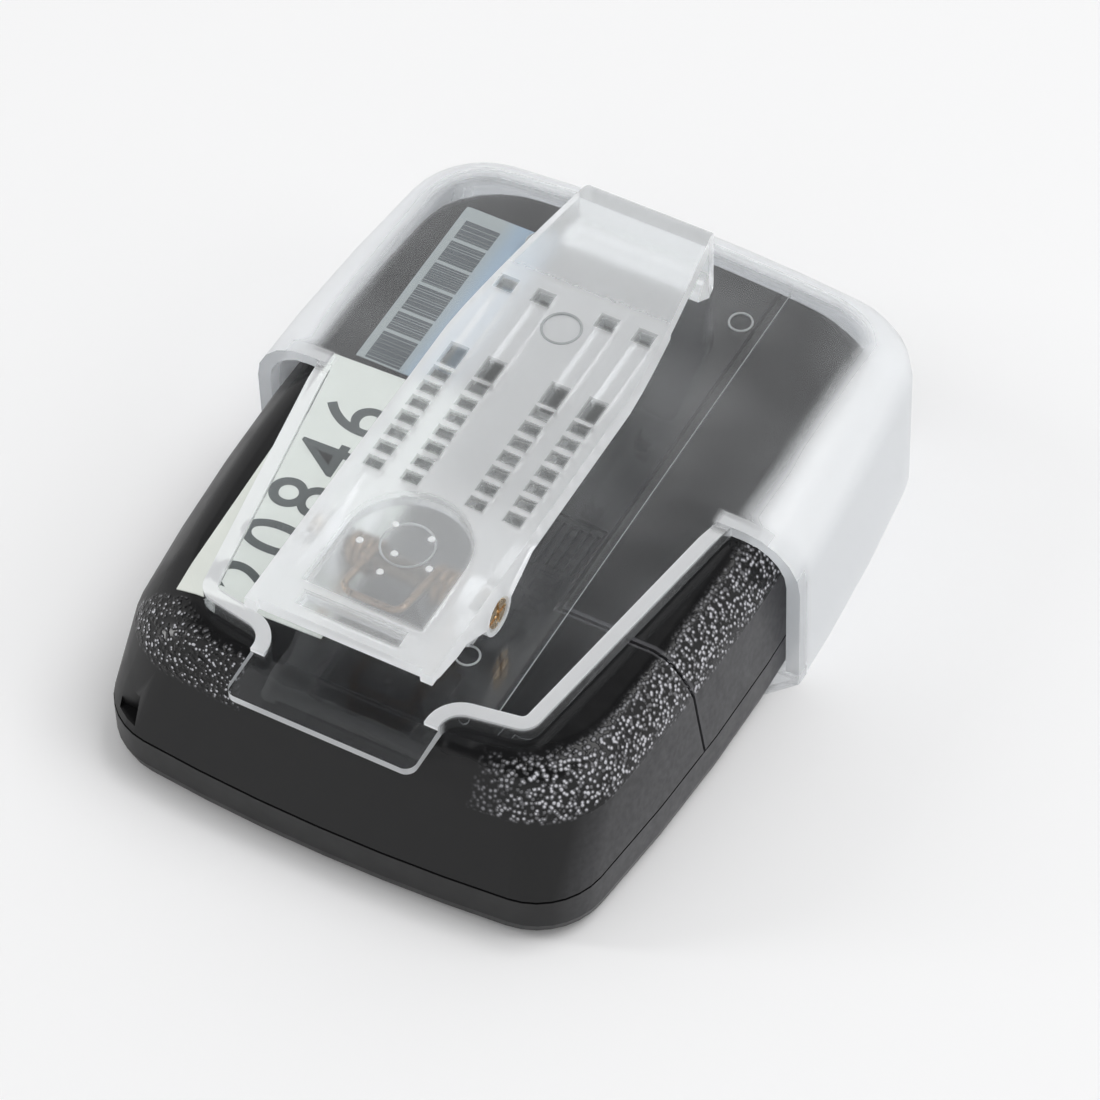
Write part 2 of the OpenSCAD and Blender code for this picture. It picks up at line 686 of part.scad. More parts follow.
module backlight() color("#e8e6da") in_frame() {
    inner_l = lcd_l - 2 * (strip_inset + strip_w + air);
    translate([-lcd_w / 2 + 1, window_y - inner_l / 2, lcd_z + lcd_t + seat])
        cube([lcd_w - 2, inner_l, board_z - lcd_z - lcd_t - 2 * seat]);
}

module lcd_frame() color("#d8d8d4") in_frame() translate([0, window_y, face_t + seat])
    linear_extrude(board_z - face_t - 2 * seat) difference() {
        pad(lcd_w + 2 * frame_rim, lcd_l + 2 * frame_rim, 1.5);
        square([lcd_w + 0.2, lcd_l + 0.2], center = true);
    }

// Key i of the row, counted from the left
module face_key(i) color("#3c3d42") in_frame() {
    translate([0, 0, key_sunk]) linear_extrude(face_t) key_plan(i, 0);
    translate([0, 0, face_t + seat]) linear_extrude(key_flange) key_plan(i, 0.8);
    translate([(i - 1.5) * key_pitch, key_y, face_t]) cylinder(r = 1.5, h = key_stem_z - face_t);
}
mat_t = 0.5;
mat_z = board_z - mat_t;
dome_h = 0.2;
key_stem_z = mat_z - dome_h - key_travel - 0.05;
module key_left() face_key(0);
module key_read() face_key(1);
module key_menu() face_key(2);
module key_right() face_key(3);

module keypad_mat() color("#6b6f78") in_frame() {
    translate([0, key_y, mat_z]) linear_extrude(mat_t) pad(3 * key_pitch + key_w, key_l + 4, 1.5);
    for (i = [0:3]) translate([(i - 1.5) * key_pitch, key_y, mat_z - dome_h]) cylinder(r1 = 1.5, r2 = 1.9, h = dome_h + thin);
}

module alert_led() color("#b3201c") in_frame() translate([0, led_y, 0]) {
    translate([0, 0, 0.4 + led_r / 2]) cylinder(r = led_r, h = board_z - 0.4 - led_r / 2);
    translate([0, 0, 0.4 + led_r / 2]) intersection() {
        sphere(led_r);
        translate([0, 0, -led_r / 2]) cylinder(r = led_r, h = led_r);
    }
}

// ---------- boards ----------

module main_board() color("#1f5a3c") in_frame() difference() {
    translate([0, 0, board_z]) linear_extrude(board_t) polygon(outline(half_w - shell_t - air, half_l - shell_t - air, corner_r));
    for (p = screw_at) translate([p[0], p[1], 0]) cylinder(r = screw_r + 0.2, h = receiver_h);
}

// Chips and a crystal can, standing on the main board
part_z = board_top + seat;
module board_parts() color("#26262a") in_frame() {
    translate([-12, window_y + 9, part_z]) chip(10, 10, 1.5);
    translate([-11, window_y - 9, part_z]) chip(9, 6, 1.3);
    translate([0, window_y + 4, part_z]) chip(7, 5, 1.3);
    translate([3, window_y - 8, part_z]) linear_extrude(3) pad(8.8, 3.6, 1.75);
    for (i = [0:4]) translate([-6 + 3 * i, near_y + 24, part_z]) chip(1.8, 1, 0.8);
}

module chip(w, l, h) difference() {
    translate([-w / 2, -l / 2, 0]) cube([w, l, h]);
    translate([-w / 2 + 1, -l / 2 + 1, h - 0.1]) cylinder(r = 0.4, h = past);
}

module board_screws() color("#b8b8bc") in_frame() for (p = screw_at) translate([p[0], p[1], 0]) difference() {
    union() {
        translate([0, 0, face_t + 0.2]) cylinder(r = screw_r, h = board_top - face_t - 0.2 + seat + thin);
        translate([0, 0, board_top + seat]) cylinder(r = 1.7, h = 1);
    }
    for (a = [0, 90]) rotate(a) translate([-1.1, -0.2, board_top + 0.6]) cube([2.2, 0.4, 1]);
}

loop_t = 0.5;
loop_x0 = -20.3;
loop_x1 = bay_x - rib_t - air;
loop_y0 = window_y - 17;
loop_y1 = far_y - 5;
loop_z = part_z;
loop_h = 6.3;
radio_z = 9.5;

module antenna_loop() color("#c9a24a") in_frame() {
    difference() {
        box(loop_x0, loop_x1, loop_y0, loop_y1, loop_z + 1, loop_z + loop_h);
        box(loop_x0 + loop_t, loop_x1 - loop_t, loop_y0 + loop_t, loop_y1 - loop_t, 0, receiver_h);
        // Open gap where the loop is fed
        box(-3, 3, loop_y0 - past, loop_y0 + past, 0, receiver_h);
    }
    for (x = [-4.5, 3], y = [loop_y0]) box(x, x + 1.5, y, y + loop_t, loop_z, loop_z + 2);
    box(loop_x0, loop_x0 + 3, loop_y1 - loop_t, loop_y1, loop_z, loop_z + 2);
    box(loop_x1 - 3, loop_x1, loop_y1 - loop_t, loop_y1, loop_z, loop_z + 2);
}

module receiver_board() color("#1f5a3c") in_frame()
    box(loop_x0 + loop_t + air, loop_x1 - loop_t - air, loop_y0 + 10, loop_y1 - loop_t - air, radio_z, radio_z + 0.8);

// Pin header between the boards
module board_connector() color("#2b2b30") in_frame() {
    n = 12;
    pitch = 2;
    x0 = loop_x0 + 3;
    box(x0, x0 + n * pitch, loop_y0 + 11, loop_y0 + 13, part_z, radio_z - seat);
}

can_t = 0.3;
module shield_can() color("#c4c6c8") in_frame() {
    x0 = loop_x0 + 3;
    x1 = loop_x1 - 2.5;
    y0 = loop_y0 + 15;
    y1 = loop_y1 - 3;
    z0 = radio_z + 0.8 + seat;
    z1 = z0 + 3.4;
    difference() {
        box(x0, x1, y0, y1, z0, z1);
        box(x0 + can_t, x1 - can_t, y0 + can_t, y1 - can_t, z0 - past, z1 - can_t);
        for (i = [0:4], j = [0:3]) translate([x0 + 3 + 4.5 * i, y0 + 4 + 4.5 * j, z0]) cylinder(r = 0.6, h = 5, $fn = 24);
    }
}

// ---------- silent alert and sounder ----------

motor_r = 3;
motor_l = 11;
motor_x = -19;          // shaft end of the motor's can
motor_y = near_y + 18.3;
motor_z = board_top + 0.75 + motor_r;
shaft_r = 0.5;

module along_motor() translate([motor_x, motor_y, motor_z]) rotate([0, 90, 0]) children();

module vibration_motor() color("#b9bcc0") in_frame() along_motor() {
    cylinder(r = motor_r, h = motor_l);
    translate([0, 0, -weight_l - 1]) cylinder(r = shaft_r, h = weight_l + 2);
    translate([0, 0, motor_l - thin]) cylinder(r = 1.1, h = 0.6);
}

module motor_boot() color("#2e2e30") in_frame() difference() {
    box(motor_x + 1.5, motor_x + motor_l - 1.5, motor_y - motor_r - 0.7, motor_y + motor_r + 0.7,
        board_top + seat, motor_z + motor_r + 0.7);
    along_motor() cylinder(r = motor_r + 0.03, h = motor_l + past);
}

// Half-round weight on the motor's shaft
module vibration_weight() color("#8d8f94") in_frame() along_motor() translate([0, 0, -weight_l - 0.5]) difference() {
    union() {
        intersection() {
            cylinder(r = weight_r, h = weight_l);
            translate([0, -weight_r, 0]) cube([weight_r, 2 * weight_r, weight_l]);
        }
        cylinder(r = shaft_r + 0.7, h = weight_l);
    }
    translate([0, 0, -past]) cylinder(r = shaft_r + 0.04, h = weight_l + 2 * past);
}

buzzer_r = 6;
buzzer_h = 4;
buzzer_y = bay_y - rib_t - 0.6 - buzzer_r;
module buzzer() color("#2a2a2c") in_frame() translate([8, buzzer_y, part_z]) difference() {
    union() {
        cylinder(r = buzzer_r, h = buzzer_h);
        translate([0, 0, buzzer_h - thin]) cylinder(r = 2.2, h = 0.5);
    }
    translate([0, 0, buzzer_h - 1.5]) cylinder(r = 1, h = buzzer_h);
}

// ---------- battery ----------

module along_cell(y) translate([cell_x, y, cell_z]) rotate([-90, 0, 0]) children();

module battery_cell() color("#c98b2e") in_frame() {
    along_cell(cell_y) cylinder(r = cell_r, h = cell_l - 1);
    along_cell(cell_end - 1 - thin) cylinder(r = 1.9, h = 1 + thin);
}

module battery_cradle() color("#28282a") in_frame() difference() {
    union() {
        box(cell_x - cell_r - cradle_t, cell_x + cell_r + cradle_t, cell_y - spring_l - cradle_t, cell_end - 0.6, cradle_z, cell_z);
        box(cell_x - 4, cell_x + 4, cell_end - 0.7, cell_end + 0.6 + cradle_t, cradle_z, cell_z - 1.5);
    }
    along_cell(cell_y - spring_l) cylinder(r = cell_r + seat, h = cell_l + spring_l + 0.6);
    // The outer upright is cut low where the case rounds in
    box(cell_x + cell_r - 0.6, receiver_w, cell_y - receiver_l, receiver_l, cell_z - 2.4, receiver_h);
}

module positive_contact() color("#c8cacc") in_frame() {
    box(cell_x - 2.5, cell_x + 2.5, cell_end + seat, cell_end + 0.45, cell_z - 4, cell_z + 2.5);
}

// Conical spring of the negative contact, on its plate
neg_wire = 0.5;
neg_turns = 2.5;
neg_line = [for (i = [0:40]) let (s = i / 40, a = 360 * neg_turns * s, r = 3.6 - 1.6 * s)
    [cell_x + r * cos(a), cell_y - spring_l + 0.55 + (spring_l - 0.95) * s, cell_z + r * sin(a)]];
module negative_contact() color("#c8cacc") in_frame() {
    bar(neg_line, neg_wire / 2, 8);
    translate([cell_x, cell_y - spring_l + seat, cell_z]) rotate([-90, 0, 0]) cylinder(r = 4.2, h = 0.4 + thin);
}

// ---------- labels ----------

label_t = 0.12;
number_label_x = [-half_w + 6.3, -half_w + 22.4];
number_label_y = [near_y + 11, mouth_y + 2.2];
number_label_turn = 2.2;
barcode_x = [-half_w + 8.3, -half_w + 19.3];
barcode_y = [mouth_y + 3.1, far_y - 8.8];

module number_label() color("#e9ece6") in_frame() back_skin(label_t)
    translate([number_label_x[0], number_label_y[1]]) rotate(number_label_turn)
        translate([0, number_label_y[0] - number_label_y[1]])
            square([number_label_x[1] - number_label_x[0], number_label_y[1] - number_label_y[0]]);

module barcode_label() color("#d9dee6") in_frame() back_skin(label_t)
    translate([barcode_x[0], barcode_y[0]]) square([barcode_x[1] - barcode_x[0], barcode_y[1] - barcode_y[0]]);

holster_shell();
clip_lever();
pivot_pin();
clip_spring();
front_housing();
rear_housing();
battery_door();
door_latch();
display_lens();
display_gasket();
lcd_panel();
lcd_frame();
contact_strips();
backlight();
key_left();
key_read();
key_menu();
key_right();
keypad_mat();
alert_led();
main_board();
board_parts();
board_screws();
receiver_board();
board_connector();
shield_can();
antenna_loop();
vibration_motor();
motor_boot();
vibration_weight();
buzzer();
battery_cell();
battery_cradle();
positive_contact();
negative_contact();
number_label();
barcode_label();
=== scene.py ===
"""A belt-worn receiver lying on its face in a clear clip-on holster."""

import json
import math
import random

import bmesh
import bpy
from mathutils import Matrix, Vector


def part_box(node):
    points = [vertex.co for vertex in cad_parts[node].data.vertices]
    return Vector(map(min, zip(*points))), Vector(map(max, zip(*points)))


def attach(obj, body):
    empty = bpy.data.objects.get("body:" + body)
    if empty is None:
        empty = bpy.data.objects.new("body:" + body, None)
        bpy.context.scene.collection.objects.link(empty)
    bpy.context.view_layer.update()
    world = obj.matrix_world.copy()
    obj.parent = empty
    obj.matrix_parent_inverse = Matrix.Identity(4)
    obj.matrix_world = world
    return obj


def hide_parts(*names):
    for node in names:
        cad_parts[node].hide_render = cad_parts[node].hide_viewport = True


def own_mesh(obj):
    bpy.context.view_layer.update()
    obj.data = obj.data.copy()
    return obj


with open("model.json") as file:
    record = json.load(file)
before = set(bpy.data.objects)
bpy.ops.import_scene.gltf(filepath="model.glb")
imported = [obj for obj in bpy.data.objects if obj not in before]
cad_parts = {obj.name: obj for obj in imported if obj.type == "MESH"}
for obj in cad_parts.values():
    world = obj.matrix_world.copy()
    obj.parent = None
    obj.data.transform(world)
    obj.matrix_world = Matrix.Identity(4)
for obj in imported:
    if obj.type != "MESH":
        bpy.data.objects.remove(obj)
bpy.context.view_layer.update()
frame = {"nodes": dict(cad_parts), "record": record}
nodes = frame["nodes"]

# Bare sizes on the object are in millimetres. Sizes times MM, and what the frame gives and takes, are in
# metres, and so are the floor, the lamps and the camera.
MM = 0.001
POCKET_LENGTH = 36.6
BEAD_HEIGHT = 0.6
CLIP_ABOVE_PLATE = 0.1

CLEAR = (0.89, 0.905, 0.92)
FROSTED = (0.93, 0.945, 0.955)
BLACK = (0.009, 0.009, 0.0095)
FLOOR_WHITE = (0.91, 0.91, 0.915)

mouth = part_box("holster_shell")[1].y - POCKET_LENGTH * MM
plate_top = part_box("clip_lever")[0].z - CLIP_ABOVE_PLATE * MM
pin_low, pin_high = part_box("pivot_pin")
pivot_y = (pin_low.y + pin_high.y) / 2


# ---------------------------------------------------------------- finishes


class Finish:
    """A material with one Principled shader and a few named steps for its grain."""

    def __init__(self, name, colour, **sockets):
        self.material = bpy.data.materials.new(name)
        self.material.use_nodes = True
        self.tree = self.material.node_tree
        self.shader = self.tree.nodes["Principled BSDF"]
        self.shader.inputs["Base Color"].default_value = (*colour, 1)
        for socket, value in sockets.items():
            self.shader.inputs[socket.replace("_", " ")].default_value = value
        place = self.tree.nodes.new("ShaderNodeTexCoord")
        self.coords, self.facing = place.outputs["Object"], place.outputs["Normal"]
        self.normal = None

    def node(self, kind, sockets=None, **settings):
        n = self.tree.nodes.new(kind)
        for key, value in settings.items():
            setattr(n, key, value)
        for key, value in (sockets or {}).items():
            self.feed(n.inputs[key], value)
        return n

    def feed(self, socket, value):
        if isinstance(value, bpy.types.NodeSocket):
            self.tree.links.new(value, socket)
        else:
            socket.default_value = value

    def math(self, operation, a, b=0.0, clamp=False):
        n = self.node("ShaderNodeMath", operation=operation, use_clamp=clamp)
        self.feed(n.inputs[0], a)
        self.feed(n.inputs[1], b)
        return n.outputs[0]

    def noise(self, size, detail=2.0, stretch=(1, 1, 1)):
        """Soft noise with grains of that size, drawn out along an axis where stretch is under 1."""
        place = self.node("ShaderNodeVectorMath", {0: self.coords, 1: stretch}, operation="MULTIPLY")
        sockets = {"Vector": place.outputs[0], "Scale": 1 / (size * MM), "Detail": detail}
        return self.node("ShaderNodeTexNoise", sockets).outputs["Fac"]

    def cells(self, size, smooth=None):
        """Distance to the nearest cell point, with cells of that size."""
        sockets = {"Vector": self.coords, "Scale": 1 / (size * MM)}
        if smooth is not None:
            sockets["Smoothness"] = smooth
        feature = "F1" if smooth is None else "SMOOTH_F1"
        return self.node("ShaderNodeTexVoronoi", sockets, feature=feature).outputs["Distance"]

    def span(self, value, low, high, to_low=0.0, to_high=1.0, ease="LINEAR"):
        """value carried from low..high to to_low..to_high and held at both ends."""
        sockets = {"Value": value, "From Min": low, "From Max": high, "To Min": to_low, "To Max": to_high}
        return self.node("ShaderNodeMapRange", sockets, interpolation_type=ease).outputs["Result"]

    def smooth_span(self, value, low, high):
        """0 at low and 1 at high, easing in and out between them."""
        return self.span(value, low, high, ease="SMOOTHSTEP")

    def along(self, axis):
        """One coordinate of the object, in metres."""
        return self.node("ShaderNodeSeparateXYZ", {0: self.coords}).outputs[axis]

    def steepness(self, flat, steep):
        """0 where the surface is level, up to 1 where its normal's rise falls from flat to steep."""
        rise = self.math("ABSOLUTE", self.node("ShaderNodeSeparateXYZ", {0: self.facing}).outputs["Z"])
        return self.span(rise, flat, steep)

    def folded(self, operation, values):
        total = values[0]
        for value in values[1:]:
            total = self.math(operation, total, value)
        return total

    def any_of(self, *values):
        """The largest of these."""
        return self.folded("MAXIMUM", values)

    def all_of(self, *values):
        """The smallest of these."""
        return self.folded("MINIMUM", values)

    def times(self, *values):
        return self.folded("MULTIPLY", values)

    def between(self, value, low, high, soft):
        """1 where value lies between low and high, fading out over soft at both ends."""
        rise = self.span(value, (low - soft) * MM, low * MM)
        fall = self.span(value, (high + soft) * MM, high * MM)
        return self.all_of(rise, fall)

    def tint(self, amount, colour_a, colour_b):
        """The surface's colour, from colour_a where amount is 0 to colour_b where it is 1."""
        factor, first, second, result = 0, 6, 7, 2
        mix = self.node("ShaderNodeMix", {factor: amount}, data_type="RGBA")
        self.feed(mix.inputs[first], (*colour_a, 1))
        self.feed(mix.inputs[second], (*colour_b, 1))
        self.set("Base Color", mix.outputs[result])

    def set(self, socket, value):
        self.feed(self.shader.inputs[socket], value)

    def bump(self, height, depth, strength=1.0):
        """Raises the surface by up to depth where height is 1; steps add up."""
        n = self.node("ShaderNodeBump", {"Height": height, "Distance": depth * MM, "Strength": strength})
        if self.normal:
            self.tree.links.new(self.normal, n.inputs["Normal"])
        self.normal = n.outputs["Normal"]
        self.tree.links.new(self.normal, self.shader.inputs["Normal"])


def dust(finish, size, share):
    """1 on a few small specks spread over the surface, 0 elsewhere."""
    speck = finish.span(finish.cells(size), 0.04, 0.07, 1.0, 0.0)
    patch = finish.span(finish.noise(size * 9), 1 - share, 1.02 - share, 0.0, 1.0)
    return finish.math("MULTIPLY", speck, patch)


def milky(finish, haze, clear_rough, milk_rough):
    """haze runs from 0, see-through, to 1, white like frosted plastic."""
    finish.set("Transmission Weight", finish.math("SUBTRACT", 1.0, haze, clamp=True))
    finish.set("Roughness", finish.span(haze, 0.0, 0.5, clear_rough, milk_rough))


def clear_plastic():
    """The holster: a clear plate whose rounds turn white and whose walls turn pale and milky, greyed a little
    by painted shade.
    """
    f = Finish("clear_plastic", CLEAR, IOR=1.42)
    low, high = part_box("holster_shell")
    side = high.x / MM
    rim_start = mouth / MM
    rim_width, rim_from, rim_to = 1.5, 21.5, 22.5
    tongue_length, tongue_soft = 6.0, 0.5
    milk_from, milk_to, milk_drift = side - 7.6, side - 3.8, 1.6
    veil_from, veil_to = 32, 16
    off_centre = 0.4
    along, height = f.along("Y"), f.along("Z")
    across = f.math("ABSOLUTE", f.math("ADD", f.along("X"), off_centre * MM))

    upright = f.steepness(0.5, 0.06)
    in_pocket = f.span(along, mouth - 0.1 * MM, mouth)
    on_bead = f.span(height, plate_top - 0.1 * MM, plate_top + 0.5 * MM, 0.1, 1.0)
    tongue_start = low.y + (tongue_length + tongue_soft) * MM
    tongue_full = low.y + (tongue_length - tongue_soft) * MM
    on_tongue = f.span(along, tongue_start, tongue_full, 0.0, 2.0)
    rounds = f.times(f.steepness(0.99, 0.88), f.span(upright, 0.0, 1.0, 0.58, 0.27))
    rounds = f.times(rounds, f.any_of(in_pocket, on_bead, on_tongue))
    bead = f.span(height, plate_top + 0.1 * MM, plate_top + 0.4 * MM, 0.0, 0.62)
    rim = f.between(along, rim_start, rim_start + rim_width, 0.25)
    rim = f.times(f.all_of(rim, f.span(across, rim_from * MM, rim_to * MM)), 0.4)

    drift = f.times(f.noise(2.2, 2.0, (1, 0.12, 1)), milk_drift * MM)
    sides = f.span(f.math("ADD", across, drift), milk_from * MM, milk_to * MM)
    sides = f.times(f.math("POWER", sides, 1.6), 0.7, f.span(along, mouth, mouth + 2.5 * MM))
    veil = f.span(f.noise(13.0, 1.0), 0.3, 0.7, 0.012, 0.045)
    veil = f.times(veil, f.span(along, mouth - veil_from * MM, mouth - veil_to * MM))
    specks = f.times(dust(f, 1.3, 0.3), 0.4)

    milky(f, f.any_of(rounds, sides, bead, rim, specks, veil), 0.03, 0.3)
    # Painted shade: the upright walls are tinted greyer than the plate.
    f.tint(upright, CLEAR, (0.81, 0.83, 0.85))
    f.bump(f.noise(7.0, 1.0), 0.05, 0.25)
    return f


def frosted_plastic():
    """The clip: softly frosted, whiter at the hook, the thumb and its walls, with clear pockets in painted
    shade.
    """
    f = Finish("frosted_plastic", FROSTED, IOR=1.5)
    low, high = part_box("clip_lever")
    far, near = high.y / MM, low.y / MM
    groove_far, groove_near = far - 15.5, far - 28.5
    rows, pitch, pocket = 7, 2.15, 1.35
    rows_near = groove_near - rows * pitch
    well_radius, well_length, slot_half = 7.0, 8.6, 6.0
    along, across = f.along("Y"), f.math("ABSOLUTE", f.along("X"))

    in_rows = f.between(along, rows_near, groove_near - 0.6, 0.5)
    lanes = f.any_of(f.between(across, 2.8, 4.4, 0.3), f.between(across, 7.0, 8.6, 0.3))
    # Painted shade: the ends of the groove lanes and the rows of pockets are darkened.
    pocket_shade = [
        f.between(along, groove_far - 1.7, groove_far - 0.4, 0.35),
        f.between(along, groove_near, groove_near + 2.4, 0.4),
    ]
    for row in range(1, rows + 1):
        start = groove_near - pitch * row
        pocket_shade.append(f.between(along, start + 0.2, start + pocket - 0.2, 0.4))
    dots = f.all_of(lanes, f.any_of(*pocket_shade))

    past_pin = f.math("MAXIMUM", f.math("SUBTRACT", along, pivot_y), 0.0)
    reach = f.math("SQRT", f.math("ADD", f.math("POWER", across, 2.0), f.math("POWER", past_pin, 2.0)))
    well_end = f.span(along, pivot_y - well_length * MM, pivot_y - (well_length - 0.6) * MM)
    pad_well = f.all_of(f.span(reach, well_radius * MM, (well_radius - 0.7) * MM), well_end)
    slot_sides = f.span(across, slot_half * MM, (slot_half - 0.6) * MM)
    slot = f.all_of(slot_sides, f.between(along, near + 1.9, near + 3.5, 0.3))
    clearer = f.span(f.any_of(pad_well, slot), 0.0, 1.0, 1.0, 0.32)

    end_pad = f.span(along, (far - 13.9) * MM, (far - 13.4) * MM, 0.0, -0.05)
    thumb = f.span(along, (rows_near + 4) * MM, (rows_near - 1) * MM, 0.0, 0.1)
    fine = f.span(f.noise(0.6, 3.0), 0.3, 0.7, 0.27, 0.305)
    haze = f.times(f.math("ADD", fine, f.math("ADD", end_pad, thumb)), clearer)
    haze = f.math("ADD", haze, f.times(lanes, in_rows, 0.08))
    haze = f.times(haze, f.span(dots, 0.0, 1.0, 1.0, 0.3))

    ribbed = f.all_of(
        f.span(across, 9.2 * MM, 9.0 * MM),
        f.between(along, near + 1.0, groove_far + 0.8, 0.4),
    )
    bend = f.span(along, (far - 2.6) * MM, (far - 2.0) * MM)
    walls = f.times(f.steepness(0.9, 0.3), f.span(f.any_of(ribbed, bend), 0.0, 1.0, 0.62, 0.1))
    nubs = f.span(f.along("Z"), high.z - 0.16 * MM, high.z - 0.08 * MM, 0.0, 0.7)

    milky(f, f.any_of(haze, walls, nubs), 0.2, 0.34)
    # Painted shade: the pockets are tinted darker grey.
    f.tint(dots, FROSTED, (0.4, 0.41, 0.41))
    f.bump(f.noise(1.2, 2.0), 0.02, 0.3)
    return f


def stipple(f, rough, painted_highlight):
    """Adds the patches of stipple on the bevel, with painted glints on the grains, and a painted highlight
    along the seam of the door; returns roughness and the painted highlights.
    """
    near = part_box("rear_housing")[0].y / MM
    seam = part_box("battery_door")[0].y / MM
    band_low, band_high, band_soft = 14.2, 18.2, 0.4
    across, along, height = f.along("X"), f.along("Y"), f.along("Z")
    band = f.all_of(
        f.smooth_span(height, (band_low - band_soft) * MM, (band_low + band_soft) * MM),
        f.smooth_span(height, (band_high + band_soft) * MM, (band_high - band_soft) * MM),
    )
    left = f.all_of(
        f.span(across, -10.5 * MM, -12.5 * MM),
        f.span(along, (near + 10.5) * MM, (near + 9.5) * MM),
    )
    right = f.all_of(
        f.span(across, 14.5 * MM, 20.5 * MM),
        f.span(along, (near + 47) * MM, (near + 43) * MM),
    )
    patch = f.all_of(band, f.any_of(left, right))

    grain = f.math("POWER", f.span(f.cells(0.46, 0.4), 0.05, 0.62, 1.0, 0.0), 0.7)
    lumps = f.times(grain, f.span(f.noise(0.8, 2.0), 0.35, 0.6, 0.75, 1.0))
    f.bump(f.times(lumps, patch), 0.28, 1.0)
    # Painted glints: the grains' tops are tinted light, close together on the right patch and sparse on the
    # left.
    painted_sheen = f.times(f.smooth_span(lumps, 0.15, 0.45), 0.2)
    painted_glints = f.smooth_span(lumps, 0.43, 0.72)
    dense = f.times(f.any_of(painted_sheen, painted_glints), f.all_of(band, right))
    sparse = f.times(f.smooth_span(lumps, 0.56, 0.78), f.all_of(band, left))
    # Painted highlight: a thin light line where the door seam's edge rounds over.
    seam_highlight = f.all_of(
        f.between(along, seam - 0.45, seam + 0.3, 0.2),
        f.span(across, 12.5 * MM, 14.5 * MM),
        f.span(height, 5.8 * MM, 6.1 * MM),
    )
    return f.span(patch, 0.0, 1.0, rough, 0.16), f.any_of(painted_highlight, dense, sparse, f.times(seam_highlight, 0.1))


def case_black(name, stippled):
    """Glossy black moulding, matt where it slopes, with painted highlights that lighten its right side, the
    stipple's grains and the door seam.
    """
    f = Finish(name, BLACK, IOR=1.37)
    sloping = f.steepness(0.9, 0.6)
    mottle = f.span(f.noise(2.5), 0.3, 0.7, 0.0, 0.08)
    rough = f.math("ADD", f.span(sloping, 0.0, 1.0, 0.14, 0.38), mottle)
    f.bump(f.times(f.noise(0.9, 3.0), sloping), 0.012, 0.4)
    # Painted highlight: the steep right side is tinted lighter in random patches, as if lit from the right.
    lit_right_side = f.all_of(f.span(f.along("X"), 24.5 * MM, 28 * MM), f.steepness(0.5, 0.2))
    painted_highlight = f.times(lit_right_side, f.span(f.noise(0.7, 3.0), 0.3, 0.7, 0.06, 0.11))
    if stippled:
        rough, painted_highlight = stipple(f, rough, painted_highlight)
    # Painted highlights, all tinted light grey: the lit right side, the stipple's glints and the door seam's
    # edge.
    f.tint(painted_highlight, BLACK, (0.58, 0.58, 0.62))
    f.set("Roughness", rough)
    return f


def plain_moulding(name, colour, rough, **more):
    """A moulded part with a slight mottle and a fine skin."""
    f = Finish(name, colour, Roughness=rough, **more)
    f.set("Roughness", f.span(f.noise(1.5), 0.3, 0.7, rough - 0.05, rough + 0.05))
    f.tint(f.noise(3.0), colour, tuple(min(1, c * 1.12 + 0.002) for c in colour))
    f.bump(f.noise(0.4, 3.0), 0.012, 0.4)
    return f


def metal(name, colour, rough):
    """Bare metal with uneven polish and darker clouds."""
    f = Finish(name, colour, Roughness=rough, Metallic=1.0)
    polish = f.noise(0.6, 3.0)
    f.set("Roughness", f.span(polish, 0.3, 0.7, rough - 0.07, rough + 0.1))
    f.tint(f.noise(1.1), colour, tuple(c * 0.8 for c in colour))
    f.bump(polish, 0.01, 0.4)
    return f


def peened_brass():
    """The pin: brown in painted shade along its shaft, bright with a painted highlight on its two peened
    heads.
    """
    f = metal("brass_pin", (0.62, 0.46, 0.27), 0.28)
    # Painted shade on the shaft inside the clip's ears, painted highlight on the peened heads.
    lit_heads = f.span(f.math("ABSOLUTE", f.along("X")), pin_high.x - 0.9 * MM, pin_high.x - 0.6 * MM)
    f.tint(lit_heads, (0.16, 0.13, 0.1), (0.8, 0.63, 0.42))
    return f


def bar_paper():
    """The bar label: grey, with a painted blue sheen next to its bars."""
    grey = (0.33, 0.365, 0.365)
    f = Finish("bar_label", grey, Roughness=0.35)
    left_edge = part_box("barcode_label")[0].x
    # Painted reflection: a bluish sheen tinted into the label next to the bars.
    blue_sheen = f.span(f.along("X"), left_edge + 4.6 * MM, left_edge + 6.5 * MM)
    f.tint(blue_sheen, grey, (0.29, 0.38, 0.47))
    f.bump(f.noise(0.4, 3.0), 0.01, 0.4)
    return f


def dot_display():
    """The display: grey-green glass with rows of small square dots, all at rest."""
    glass = (0.34, 0.38, 0.28)
    row_pitch, dot_pitch = 4.0, 0.4
    f = Finish("display_glass", glass, Roughness=0.12)
    low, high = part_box("lcd_panel")
    row = f.math("FRACT", f.math("DIVIDE", f.math("SUBTRACT", f.along("Y"), low.y + 2 * MM), row_pitch * MM))
    dots = [f.span(row, 0.1, 0.12), f.span(row, 0.92, 0.9)]
    for axis, start in (("X", low.x), ("Y", low.y)):
        step = f.math("FRACT", f.math("DIVIDE", f.math("SUBTRACT", f.along(axis), start), dot_pitch * MM))
        dots += [f.span(step, 0.06, 0.14), f.span(step, 0.94, 0.86)]
    for axis, start, end, inset in (("X", low.x, high.x, 2.6), ("Y", low.y, high.y, 2.2)):
        dots.append(f.between(f.along(axis), start / MM + inset, end / MM - inset, 0.05))
    f.tint(f.times(f.all_of(*dots), 0.55), glass, (0.2, 0.23, 0.17))
    f.bump(f.noise(3.0), 0.01, 0.3)
    return f


